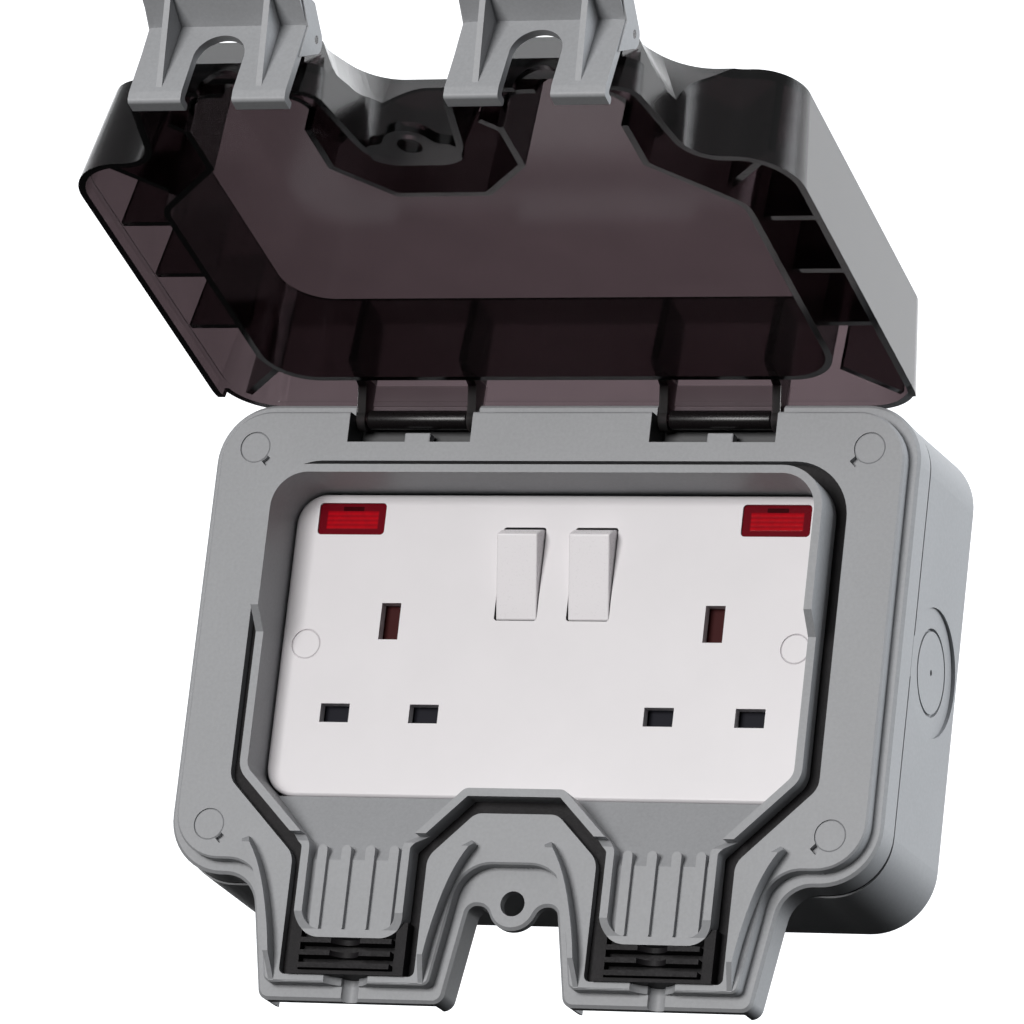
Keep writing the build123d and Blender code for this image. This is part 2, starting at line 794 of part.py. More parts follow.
# Latches, drawn beside the shut lid and swung clear of the frame
latch_axis = Axis((0, -latch_height, latch_z), (1, 0, 0))
hook_shape = about(
    latch_height,
    latch_z,
    [(-0.1, -3.5), (-0.1, -5.7), (18.5, -7.95), (21.0, -7.6), (21.0, -3.6), (19.2, -3.6), (19.2, -5.75)],
)
flange_shape = about(
    latch_height,
    latch_z,
    [(-0.1, -3.5), (-0.1, -5.7), (-5.2, -19.0), (-7.4, -18.2), (-2.4, -3.9)],
)
web_shape = about(latch_height, latch_z, [(17.6, -7.7), (-2.9, -14.4), (0.4, -4.6)])
ear_shape = about(
    latch_height,
    latch_z,
    [(8.6, -6.0), (2.4, 2.0), (-2.6, 1.8), (-6.4, -5.0), (-4.6, -13.4), (0.2, -5.4)],
)
for side, sx in (("left", -1), ("right", 1)):
    with BuildPart() as latch:
        with BuildSketch(Plane.YZ.offset(sx * outlet_x)):
            with BuildLine():
                FilletPolyline(*hook_shape, radius=[0, 0, 1.0, 1.0, 0.5, 0.5, 0.6], close=True)
            make_face()
        extrude(amount=latch_half - 0.4, both=True)
        with BuildSketch(front(latch_height - 40.0)):
            with Locations((sx * outlet_x, latch_z)):
                Rectangle(2 * fork_half, 40.0)
        extrude(amount=40.0 - 2.6 - fork_half, mode=Mode.SUBTRACT)
        with BuildSketch(Plane.XY.offset(latch_z)):
            with Locations((sx * outlet_x, -latch_height + 2.6 + fork_half)):
                Circle(fork_half)
        extrude(amount=-20.0, mode=Mode.SUBTRACT)
        # finger flange, bowed along its free edge
        with BuildSketch(Plane.YZ.offset(sx * outlet_x)):
            with BuildLine():
                Polyline(*flange_shape, close=True)
            make_face()
        extrude(amount=latch_half - 0.4, both=True)
        with BuildSketch(front(latch_height - 30.0)):
            with Locations((sx * outlet_x, latch_z)):
                Rectangle(60.0, 60.0)
            with Locations((sx * outlet_x, latch_z - 18.0 + bow_r)):
                Circle(bow_r, mode=Mode.SUBTRACT)
        extrude(amount=60.0, mode=Mode.SUBTRACT)
        for k in (-1, 1):
            with BuildSketch(Plane.YZ.offset(sx * outlet_x + k * 11.9)):
                with BuildLine():
                    Polyline(*web_shape, close=True)
                make_face()
            extrude(amount=0.7, both=True)
            with BuildSketch(Plane.YZ.offset(sx * outlet_x + k * (latch_half - ear_wall / 2))):
                with Locations((-latch_height, latch_z)):
                    Circle(3.2)
                with BuildLine():
                    Polyline(*ear_shape, close=True)
                make_face()
                with Locations((-latch_height, latch_z)):
                    Circle(latch_stub_r + running, mode=Mode.SUBTRACT)
            extrude(amount=ear_wall / 2, both=True)
    latch_up = latch.part.rotate(latch_axis, -latch_swing)
    latch_up = latch_up.rotate(hinge_axis, -lid_open)
    latch_up.label = side + "_latch"
    export_step(latch_up, "parts/" + side + "_latch.step")

# Socket face plate
with BuildPart() as socket_plate:
    with BuildSketch(front(plate_front - plate_wall)):
        RectangleRounded(plate_w, plate_h, plate_corner)
    extrude(amount=plate_wall)
    fillet(socket_plate.faces().sort_by(Axis.Y)[0].edges(), 0.9)
    with BuildSketch(front(plate_back)):
        RectangleRounded(plate_w, plate_h, plate_corner)
        RectangleRounded(plate_w - 3.6, plate_h - 3.6, plate_corner - 1.8, mode=Mode.SUBTRACT)
        with Locations((-fixing_x, 0), (fixing_x, 0)):
            Circle(4.5)
    extrude(amount=plate_front - plate_wall - plate_back + 0.1)
    # switch bearings beside each opening
    with BuildSketch(front(rocker_height - 3.2)):
        with Locations((0, rocker_z)):
            Rectangle(2 * (rocker_x - rocker_w / 2 - slide_gap), 6.4)
            for sx in (-1, 1):
                with Locations((sx * (rocker_x + rocker_w / 2 + slide_gap + 1.5), 0)):
                    Rectangle(3.0, 6.4)
    extrude(amount=plate_front - plate_wall - rocker_height + 3.3)
    # shutter guides
    with BuildSketch(front(shutter_back)):
        for gx in (-gang_x, gang_x):
            for k in (-1, 1):
                with Locations((gx + k * (shutter_half + slide_gap + 0.7), -19.5)):
                    Rectangle(1.4, 22.0)
    extrude(amount=plate_front - plate_wall - shutter_back + 0.1)
    # openings
    with BuildSketch(front(plate_back - 1.0)):
        for gx in (-gang_x, gang_x):
            with Locations((gx - pin_offset, live_z), (gx + pin_offset, live_z)):
                Rectangle(7.2, 4.5)
            with Locations((gx, earth_z)):
                Rectangle(4.8, 8.8)
        with Locations((-neon_x, neon_z), (neon_x, neon_z)):
            RectangleRounded(neon_w, neon_h, 1.0)
        with Locations((-rocker_x, rocker_z), (rocker_x, rocker_z)):
            RectangleRounded(rocker_w + 2 * slide_gap, 2 * (rocker_r + slide_gap), 0.8)
        with Locations((-fixing_x, 0), (fixing_x, 0)):
            Circle(1.9)
    extrude(amount=20.0, mode=Mode.SUBTRACT)
    with BuildSketch(front(fixing_seat)):
        with Locations((-fixing_x, 0), (fixing_x, 0)):
            Circle(fixing_cap_r)
    extrude(amount=10.0, mode=Mode.SUBTRACT)
    for sx in (-1, 1):
        with BuildSketch(Plane.YZ.offset(sx * rocker_x)):
            with Locations((-rocker_height, rocker_z)):
                Circle(rocker_pin_r + running)
        extrude(amount=rocker_pin_l / 2 + slide_gap, both=True, mode=Mode.SUBTRACT)
socket_plate.part.label = "socket_plate"
export_step(socket_plate.part, "parts/socket_plate.step")

# Rocker switches, both pressed on
for side, sx in (("left", -1), ("right", 1)):
    with BuildPart() as rocker:
        with BuildSketch(Plane.YZ.offset(sx * rocker_x)):
            with Locations((-rocker_height, rocker_z)):
                Circle(rocker_r)
                with Locations(Location((0, 0), rocker_tilt)):
                    with Locations((-rocker_face, 0)):
                        Rectangle(
                            rocker_face + 5.4, 2 * rocker_r + 2.0,
                            align=(Align.MIN, Align.CENTER), mode=Mode.INTERSECT,
                        )
        extrude(amount=rocker_w / 2, both=True)
        fillet(rocker.edges().filter_by(Axis.X), 0.5)
        fillet(rocker.faces().filter_by(Axis.X).edges(), 0.4)
        with BuildSketch(Plane.YZ.offset(sx * rocker_x)):
            with Locations((-rocker_height, rocker_z)):
                Circle(rocker_pin_r)
        extrude(amount=rocker_pin_l / 2, both=True)
    rocker.part.label = side + "_rocker"
    export_step(rocker.part, "parts/" + side + "_rocker.step")

# Indicator windows and the lamps behind them
for side, sx in (("left", -1), ("right", 1)):
    with BuildPart() as neon_lens:
        with BuildSketch(front(plate_front - plate_wall)):
            with Locations((sx * neon_x, neon_z)):
                RectangleRounded(neon_w, neon_h, 1.0)
        extrude(amount=plate_wall - 0.5)
        with BuildSketch(front(plate_front - plate_wall - 1.6)):
            with Locations((sx * neon_x, neon_z - 0.3)):
                Rectangle(neon_w + 0.8, neon_h + 0.4)
        extrude(amount=1.6)
        with BuildSketch(front(plate_front - plate_wall - 1.6)):
            with Locations((sx * neon_x, neon_z)):
                Rectangle(neon_w - 3.0, neon_h - 3.0)
        extrude(amount=2.4, mode=Mode.SUBTRACT)
    neon_lens.part.label = side + "_neon_lens"
    export_step(neon_lens.part, "parts/" + side + "_neon_lens.step")
    with BuildPart() as neon_lamp:
        with BuildSketch(Plane.YZ.offset(sx * neon_x)):
            with Locations((-plate_front + plate_wall + 1.9, neon_z)):
                Circle(1.9)
        extrude(amount=5.0, both=True)
        with BuildSketch(Plane.YZ.offset(sx * neon_x)):
            for dz in (-1.0, 1.0):
                with Locations((-plate_front + plate_wall + 2.7, neon_z + dz)):
                    Circle(0.4)
        extrude(amount=-sx * 9.0)
    neon_lamp.part.label = side + "_neon_lamp"
    export_step(neon_lamp.part, "parts/" + side + "_neon_lamp.step")

# Plate screws under white caps
with BuildPart() as plate_screws:
    with BuildSketch(front(fixing_seat)):
        with Locations((-fixing_x, 0), (fixing_x, 0)):
            Circle(fixing_cap_r - 0.3)
    extrude(amount=1.6)
    with BuildSketch(front(fixing_seat)):
        with Locations((-fixing_x, 0), (fixing_x, 0)):
            Circle(fixing_r)
    extrude(amount=-18.0)
plate_screws.part.label = "plate_screws"
export_step(plate_screws.part, "parts/plate_screws.step")

with BuildPart() as plate_screw_caps:
    with BuildSketch(front(fixing_seat + 1.7)):
        with Locations((-fixing_x, 0), (fixing_x, 0)):
            Circle(fixing_cap_r)
    extrude(amount=plate_front - fixing_seat - 1.7)
    chamfer(plate_screw_caps.faces().group_by(Axis.Y)[0].edges(), 0.4)
plate_screw_caps.part.label = "plate_screw_caps"
export_step(plate_screw_caps.part, "parts/plate_screw_caps.step")

# Safety shutters behind the pin openings
for side, gx in (("left", -gang_x), ("right", gang_x)):
    with BuildPart() as shutter:
        with BuildSketch(front(shutter_back + 0.3)):
            with Locations((gx, live_z - 0.3)):
                Rectangle(2 * shutter_half, 8.2)
            with Locations((gx, live_z + 12.0)):
                Rectangle(11.0, 33.0)
        extrude(amount=2.0)
    shutter.part.label = side + "_shutter"
    export_step(shutter.part, "parts/" + side + "_shutter.step")

# Rear cover of the socket
with BuildSketch() as cover_line:
    with Locations((0, cover_low)):
        Rectangle(2 * cover_half, cover_shoulder - cover_low, align=(Align.CENTER, Align.MIN))
        Rectangle(44.0, cover_top - cover_low, align=(Align.CENTER, Align.MIN))
    with Locations((-fixing_x, 0), (fixing_x, 0)):
        Rectangle(10.6, 11.0, mode=Mode.SUBTRACT)
with BuildPart() as socket_rear_cover:
    with BuildSketch(front(cover_back)):
        add(cover_line.sketch)
    extrude(amount=cover_rim - cover_back)
    with BuildSketch(front(cover_back + 2.0)):
        add(cover_line.sketch)
        offset(amount=-1.6, kind=Kind.INTERSECTION)
    extrude(amount=cover_rim, mode=Mode.SUBTRACT)
    with BuildSketch(front(cover_back)):
        with Locations((0, cover_screw_z)):
            Circle(4.0)
    extrude(amount=plate_front - plate_wall - cover_back)
    with BuildSketch(front(cover_back - 1.0)):
        with Locations((0, cover_screw_z)):
            Circle(1.5)
    extrude(amount=14.0, mode=Mode.SUBTRACT)
    with BuildSketch(front(cover_back - 1.0)):
        with Locations(*terminals):
            Circle(3.0)
    extrude(amount=4.0, mode=Mode.SUBTRACT)
socket_rear_cover.part.label = "socket_rear_cover"
export_step(socket_rear_cover.part, "parts/socket_rear_cover.step")

with BuildPart() as cover_screw:
    with BuildSketch(front(cover_back)):
        with Locations((0, cover_screw_z)):
            Circle(1.5)
    extrude(amount=13.0)
    with BuildSketch(front(cover_back - 1.8)):
        with Locations((0, cover_screw_z)):
            Circle(2.9)
    extrude(amount=1.8)
cover_screw.part.label = "cover_screw"
export_step(cover_screw.part, "parts/cover_screw.step")

# Brass work: strips on the floor of the cover carrying pairs of spring leaves
floor = cover_back + 2.0
with BuildPart() as earth_bar:
    with BuildSketch(front(floor)):
        with Locations((0, earth_z + 4.0)):
            Rectangle(2 * gang_x + 8.0, 5.0)
        with Locations((-gang_x, earth_z), (gang_x, earth_z)):
            Rectangle(7.0, 9.0)
        with Locations(terminals[0]):
            Rectangle(8.0, 7.6)
    extrude(amount=strip)
    with BuildSketch(front(floor)):
        for gx in (-gang_x, gang_x):
            with Locations((gx - 2.5, earth_z), (gx + 2.5, earth_z)):
                Rectangle(leaf, 7.4)
    extrude(amount=leaf_top - floor)
    with BuildSketch(front(floor)):
        with Locations(terminals[0]):
            Rectangle(8.0, 7.6)
    extrude(amount=7.0)
earth_bar.part.label = "earth_bar"
export_step(earth_bar.part, "parts/earth_bar.step")

with BuildPart() as neutral_bar:
    with BuildSketch(front(floor)):
        with Locations((-pin_offset, live_z - 7.0)):
            Rectangle(2 * gang_x + 7.0, 4.0)
        for gx in (-gang_x, gang_x):
            with Locations((gx - pin_offset, live_z - 2.5)):
                Rectangle(7.0, 12.0)
        with Locations(terminals[1]):
            Rectangle(8.0, 7.6)
    extrude(amount=strip)
    with BuildSketch(front(floor)):
        for gx in (-gang_x, gang_x):
            with Locations((gx - pin_offset, live_z - 2.5), (gx - pin_offset, live_z + 2.5)):
                Rectangle(6.4, leaf)
    extrude(amount=leaf_top - floor)
    with BuildSketch(front(floor)):
        with Locations(terminals[1]):
            Rectangle(8.0, 7.6)
    extrude(amount=7.0)
neutral_bar.part.label = "neutral_bar"
export_step(neutral_bar.part, "parts/neutral_bar.step")

for side, sx in (("left", -1), ("right", 1)):
    clip_x = sx * gang_x + pin_offset
    with BuildPart() as line_contact:
        with BuildSketch(front(floor)):
            with Locations((clip_x, live_z + 1.4)):
                Rectangle(7.0, 9.6)
            with Locations((clip_x, live_z + 9.5)):
                Rectangle(4.0, 12.0)
            with Locations(((clip_x + sx * rocker_x) / 2, live_z + 15.4)):
                Rectangle(abs(clip_x - sx * rocker_x) + 4.0, 4.6)
        extrude(amount=strip)
        with BuildSketch(front(floor)):
            with Locations((clip_x, live_z - 2.5), (clip_x, live_z + 2.5)):
                Rectangle(6.4, leaf)
        extrude(amount=leaf_top - floor)
        with BuildSketch(front(floor)):
            with Locations((sx * rocker_x, live_z + 15.4)):
                Circle(2.0)
        extrude(amount=4.0)
    line_contact.part.label = side + "_line_contact"
    export_step(line_contact.part, "parts/" + side + "_line_contact.step")

with BuildPart() as line_feed:
    with BuildSketch(front(floor)):
        with Locations((0, rocker_z + 5.0)):
            Rectangle(2 * rocker_x + 8.0, 5.0)
        with Locations(terminals[2]):
            Rectangle(8.0, 7.6)
        with Locations((terminals[2][0], rocker_z + 7.0)):
            Rectangle(5.0, 6.0)
    extrude(amount=strip)
    with BuildSketch(front(floor)):
        with Locations(terminals[2]):
            Rectangle(8.0, 7.6)
    extrude(amount=7.0)
    with BuildSketch(front(floor)):
        with Locations((-rocker_x, rocker_z + 5.0), (rocker_x, rocker_z + 5.0)):
            Rectangle(5.0, 3.0)
    extrude(amount=3.2)
line_feed.part.label = "line_feed"
export_step(line_feed.part, "parts/line_feed.step")

for side, sx in (("left", -1), ("right", 1)):
    with BuildPart() as switch_blade:
        with BuildSketch(Plane.YZ.offset(sx * rocker_x)):
            with BuildLine():
                Polyline(
                    (-floor - 3.2, rocker_z + 6.4),
                    (-floor - 3.2, rocker_z + 3.0),
                    (-floor - 4.0, live_z + 17.6),
                    (-floor - 4.0, live_z + 13.4),
                    (-floor - 4.8, live_z + 13.4),
                    (-floor - 4.8, live_z + 18.0),
                    (-floor - 4.0, rocker_z + 3.0),
                    (-floor - 4.0, rocker_z + 6.4),
                    close=True,
                )
            make_face()
        extrude(amount=2.2, both=True)
    switch_blade.part.label = side + "_switch_blade"
    export_step(switch_blade.part, "parts/" + side + "_switch_blade.step")

with BuildPart() as terminal_screws:
    with BuildSketch(front(floor)):
        with Locations(*terminals):
            Circle(2.4)
    extrude(amount=-2.6)
terminal_screws.part.label = "terminal_screws"
export_step(terminal_screws.part, "parts/terminal_screws.step")
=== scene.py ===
from math import radians, tau

import bmesh
import bpy
from bpy.props import FloatProperty, FloatVectorProperty, PointerProperty
from bpy.types import Operator, Panel, PropertyGroup
from mathutils import Matrix, Vector


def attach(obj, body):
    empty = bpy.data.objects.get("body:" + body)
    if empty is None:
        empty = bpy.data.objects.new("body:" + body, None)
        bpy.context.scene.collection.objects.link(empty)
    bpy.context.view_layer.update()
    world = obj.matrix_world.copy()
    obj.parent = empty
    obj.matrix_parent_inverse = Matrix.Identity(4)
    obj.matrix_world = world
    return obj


bl_info = {
    "name": "Outdoor Socket",
    "version": (1, 0, 0),
    "blender": (4, 5, 0),
    "location": "View3D > Sidebar > Socket",
    "description": "Finishes a weatherproof twin socket around its packed solids",
    "category": "Object",
}

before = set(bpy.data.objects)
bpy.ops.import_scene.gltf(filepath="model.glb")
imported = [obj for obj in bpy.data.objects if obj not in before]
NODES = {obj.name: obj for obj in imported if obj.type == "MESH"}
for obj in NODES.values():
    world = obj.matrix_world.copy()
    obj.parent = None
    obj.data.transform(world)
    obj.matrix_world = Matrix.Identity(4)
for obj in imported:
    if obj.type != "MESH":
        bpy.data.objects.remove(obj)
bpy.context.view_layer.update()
MM = 0.001
SIDES = (("left", -1), ("right", 1))

# hinge, in millimetres: across from the middle, out from the wall, up from the middle
HINGE_X, HINGE_HEIGHT, HINGE_Z = 37.5, 37.8, 53.9
STOP_HEIGHT, STOP_Z = 36.5, 48.9
STOP_SIZE = (6.4, 3.0, 3.8)
STOP_EDGE = 0.35
BARREL_LENGTH = 25.0
BARREL_EDGE = 0.4
BARREL_SIDES = 40

# mirrored pairs of boxes, in millimetres: middle and half width across, limits up, limits along Y; painted shade
# darkens the hinge bays and the rocker openings, and the lid's arms are rougher
HINGE_BAY_SHADE = (HINGE_X, 15.5, (46.9, 62.0), (-42.6, -30.0))
LID_ARMS = (HINGE_X, 14.8, (50.0, 63.0), (-48.0, -30.0))
ROCKER_WELL_SHADE = (8.9, 5.6, (5.75, 28.95), (-35.3, -20.0))

# the spread of a noise pattern that a finish makes use of
NOISE_LOW, NOISE_HIGH = 0.3, 0.7
# colour sockets of the mix node, which share their names with its other sockets
MIX_FROM, MIX_TO, MIX_RESULT = 6, 7, 2
# how strongly the lid's walls take up light, per metre
MURK = 730.0

FLOOR_HALF, FLOOR_Z = 6.0, -1.0
FLOOR_TONE = (0.82, 0.82, 0.82, 1.0)
SKY_TONE = (0.965, 0.98, 1.0, 1.0)
BACKDROP = 1.35
# levels of the room by direction: start, end, level at the start, level at the end
ROOM_BEHIND = (0.0, 0.85, 0.30, 1.45)
ROOM_ABOVE = (-0.15, 0.15, 0.02, 1.0)
ROOM_THROUGH = (-0.415, -0.37, 0.8, 1.46)
LAMP_AIM = Vector((0.0, -0.06, 0.0))
# name, place, size, power, colour and whether it shows in gloss
LAMPS = (
    ("key", Vector((-0.42, -2.05, 0.1)), 0.75, 31.0, (1.0, 0.99, 0.985), True),
    ("side", Vector((1.5, 0.3, 0.75)), 1.0, 25.0, (0.93, 0.965, 1.0), False),
)

EYE_PLACE = (0.6832, -1.7456, -0.4870)
EYE_RIGHT = Vector((0.9319, 0.3459, 0.1097))
EYE_DOWN = Vector((0.0041, 0.2921, -0.9564))
EYE_AHEAD = Vector((-0.3628, 0.8917, 0.2708))
EYE_LENS, EYE_SENSOR = 290.95, 36.0


def spot(x, height, z):
    """A point in the part's frame from millimetres: across, out from the wall, up."""
    return Vector((x * MM, -height * MM, z * MM))


def colour(name, description, default):
    """A colour that a user may change."""
    return FloatVectorProperty(
        name=name, description=description, default=default, size=3, subtype="COLOR", min=0.0, max=1.0
    )


def length(name, description, default):
    """A length that a user may change, with its default in millimetres."""
    return FloatProperty(
        name=name, description=description, default=default * MM, unit="LENGTH", subtype="DISTANCE", min=0.0
    )


class SocketColours(PropertyGroup):
    """Colours of the socket's finishes"""

    housing: colour("Housing", "Grey of the box, frame and latches", (0.355, 0.362, 0.374))
    smoke: colour("Smoke", "Tint of the lid's skin", (0.30, 0.25, 0.265))
    smoke_depth: colour("Smoke depth", "Tint that the lid's walls leave in the light", (0.13, 0.03, 0.05))
    plate: colour("Plate", "White of the socket plate", (0.78, 0.755, 0.77))
    lens: colour("Lens", "Bright red of the indicator windows", (0.50, 0.004, 0.011))
    lens_rim: colour("Lens rim", "Deep red round each indicator", (0.15, 0.004, 0.010))
    lamp: colour("Lamp", "Orange glass of the lamps behind the indicators", (0.8, 0.42, 0.25))
    rubber: colour("Rubber", "Black of the seals", (0.006, 0.005, 0.006))
    shutter: colour("Shutter", "Dark moulding behind the lower pin openings", (0.012, 0.012, 0.018))
    shutter_top: colour("Shutter top", "Red-brown of the shutter behind the upper opening", (0.050, 0.007, 0.007))
    brass: colour("Brass", "Contact strips", (0.71, 0.52, 0.22))
    steel: colour("Steel", "Screws and pins", (0.58, 0.58, 0.57))


class SocketSizes(PropertyGroup):
    """Sizes of the small pieces and patterns added to the solids"""

    barrel: length("Hinge barrel", "Radius of the lid's barrel round each hinge pin", 2.25)
    lens_x: length("Lens place across", "Middle of each indicator from the middle of the socket", 52.5)
    lens_z: length("Lens place up", "Middle of each indicator above the middle of the socket", 30.5)
    lens_rib: length("Lens rib", "Pitch of the ribs moulded inside each indicator", 1.08)


def fresh(name):
    """A node material with an empty tree apart from its surface and output."""
    mat = bpy.data.materials.new(name)
    mat.use_nodes = True
    tree = mat.node_tree
    tree.nodes.clear()
    out = tree.nodes.new("ShaderNodeOutputMaterial")
    skin = tree.nodes.new("ShaderNodeBsdfPrincipled")
    tree.links.new(skin.outputs["BSDF"], out.inputs["Surface"])
    place = tree.nodes.new("ShaderNodeTexCoord")
    return mat, tree, skin, place.outputs["Object"]


def found(tree, kind):
    """The first node of a kind in a tree."""
    return next(node for node in tree.nodes if node.type == kind)


def speckle(tree, place, scale, detail=2.0, roughness=0.5):
    """A noise pattern."""
    noise = tree.nodes.new("ShaderNodeTexNoise")
    noise.inputs["Scale"].default_value = scale
    noise.inputs["Detail"].default_value = detail
    noise.inputs["Roughness"].default_value = roughness
    tree.links.new(place, noise.inputs["Vector"])
    return noise.outputs["Fac"]


def graded(tree, factor, low, high, start=NOISE_LOW, end=NOISE_HIGH):
    """A colour that runs from one tone to another with a factor."""
    ramp = tree.nodes.new("ShaderNodeValToRGB")
    ramp.color_ramp.elements[0].position = start
    ramp.color_ramp.elements[1].position = end
    ramp.color_ramp.elements[0].color = (*low, 1.0)
    ramp.color_ramp.elements[1].color = (*high, 1.0)
    tree.links.new(factor, ramp.inputs["Fac"])
    return ramp.outputs["Color"]


def mapped(tree, value, limits, smooth=True):
    """A value mapped from its start and end to a level at each, and held beyond them."""
    node = tree.nodes.new("ShaderNodeMapRange")
    node.interpolation_type = "SMOOTHSTEP" if smooth else "LINEAR"
    for socket, limit in zip(("From Min", "From Max", "To Min", "To Max"), limits):
        node.inputs[socket].default_value = limit
    tree.links.new(value, node.inputs["Value"])
    return node.outputs["Result"]


def ranged(tree, factor, low, high):
    """A noise pattern mapped to two levels."""
    return mapped(tree, factor, (NOISE_LOW, NOISE_HIGH, low, high), smooth=False)


def dimpled(tree, skin, factor, strength, depth):
    """Fine relief on a surface, with its depth in millimetres."""
    bump = tree.nodes.new("ShaderNodeBump")
    bump.inputs["Strength"].default_value = strength
    bump.inputs["Distance"].default_value = depth * MM
    tree.links.new(factor, bump.inputs["Height"])
    tree.links.new(bump.outputs["Normal"], skin.inputs["Normal"])


def shade(tone, amount):
    """A tone made lighter or darker."""
    return tuple(max(0.0, min(1.0, c * amount)) for c in tone)


def reckon(tree, step, *terms):
    """One arithmetic node; each term is a number or another node's output."""
    node = tree.nodes.new("ShaderNodeMath")
    node.operation = step
    for socket, term in zip(node.inputs, terms):
        if isinstance(term, (int, float)):
            socket.default_value = term
        else:
            tree.links.new(term, socket)
    return node.outputs["Value"]


def split(tree, place):
    """The X, Y and Z of a place."""
    axes = tree.nodes.new("ShaderNodeSeparateXYZ")
    tree.links.new(place, axes.inputs["Vector"])
    return axes.outputs["X"], axes.outputs["Y"], axes.outputs["Z"]


def inside(tree, value, low, high, soft):
    """One between two limits in millimetres, fading to nought over the soft width."""
    rise = mapped(tree, value, ((low - soft) * MM, (low + soft) * MM, 0.0, 1.0))
    fall = mapped(tree, value, ((high + soft) * MM, (high - soft) * MM, 0.0, 1.0))
    return reckon(tree, "MULTIPLY", rise, fall)


def within(tree, place, middle, half, rise, depth):
    """One inside a mirrored pair of boxes."""
    x, y, z = split(tree, place)
    across = reckon(tree, "SUBTRACT", reckon(tree, "ABSOLUTE", x), middle * MM)
    wide = inside(tree, across, -half, half, 0.05)
    tall = inside(tree, z, *rise, 0.05)
    deep = inside(tree, y, *depth, 0.1)
    return reckon(tree, "MULTIPLY", reckon(tree, "MULTIPLY", wide, tall), deep)


def paint_shade(mat, boxes, tone):
    """Paints shade on a moulding: darkens its walls inside a mirrored pair of openings."""
    tree = mat.node_tree
    base = found(tree, "BSDF_PRINCIPLED").inputs["Base Color"]
    place = found(tree, "TEX_COORD").outputs["Object"]
    blend = tree.nodes.new("ShaderNodeMix")
    blend.data_type = "RGBA"
    blend.inputs[MIX_TO].default_value = (*tone, 1.0)
    tree.links.new(within(tree, place, *boxes), blend.inputs["Factor"])
    tree.links.new(base.links[0].from_socket, blend.inputs[MIX_FROM])
    tree.links.new(blend.outputs[MIX_RESULT], base)
    return mat


def spark_plastic(name, tone):
    """Moulded plastic with the fine pitted skin of a spark-eroded tool."""
    mat, tree, skin, place = fresh(name)
    pits = speckle(tree, place, 2600.0, 3.0, 0.6)
    drift = speckle(tree, place, 45.0, 3.0)
    grain = speckle(tree, place, 1300.0, 2.0, 0.7)
    mottle = reckon(tree, "MULTIPLY_ADD", grain, 0.7, reckon(tree, "MULTIPLY", drift, 0.3))
    tree.links.new(graded(tree, mottle, shade(tone, 0.92), shade(tone, 1.07)), skin.inputs["Base Color"])
    tree.links.new(ranged(tree, pits, 0.42, 0.56), skin.inputs["Roughness"])
    skin.inputs["Specular IOR Level"].default_value = 0.42
    dimpled(tree, skin, pits, 0.35, 0.05)
    return mat


def smoked_plastic(tone, depth):
    """See-through smoked moulding that darkens with its thickness, glossy apart from its hinge arms."""
    mat, tree, skin, place = fresh("smoked_plastic")
    haze = speckle(tree, place, 60.0, 3.0)
    pits = speckle(tree, place, 1800.0, 2.0)
    tree.links.new(graded(tree, haze, shade(tone, 0.94), shade(tone, 1.06)), skin.inputs["Base Color"])
    arms = within(tree, place, *LID_ARMS)
    gloss = ranged(tree, pits, 0.13, 0.19)
    tree.links.new(reckon(tree, "MULTIPLY_ADD", arms, 0.6, gloss), skin.inputs["Roughness"])
    skin.inputs["IOR"].default_value = 1.49
    skin.inputs["Specular IOR Level"].default_value = 0.35
    skin.inputs["Transmission Weight"].default_value = 1.0
    dimpled(tree, skin, pits, 0.05, 0.02)
    murk = tree.nodes.new("ShaderNodeVolumeAbsorption")
    murk.inputs["Color"].default_value = (*depth, 1.0)
    murk.inputs["Density"].default_value = MURK
    tree.links.new(murk.outputs["Volume"], found(tree, "OUTPUT_MATERIAL").inputs["Volume"])
    return mat


def smooth_plastic(name, tone, rough, alpha=1.0, gloss=0.5):
    """Plain moulding with faint flow marks."""
    mat, tree, skin, place = fresh(name)
    flow = speckle(tree, place, 70.0, 3.0)
    grain = speckle(tree, place, 2200.0, 2.0)
    tree.links.new(graded(tree, flow, shade(tone, 0.985), shade(tone, 1.015)), skin.inputs["Base Color"])
    tree.links.new(ranged(tree, grain, rough - 0.04, rough + 0.04), skin.inputs["Roughness"])
    skin.inputs["Alpha"].default_value = alpha
    skin.inputs["Specular IOR Level"].default_value = gloss
    dimpled(tree, skin, grain, 0.08, 0.02)
    return mat


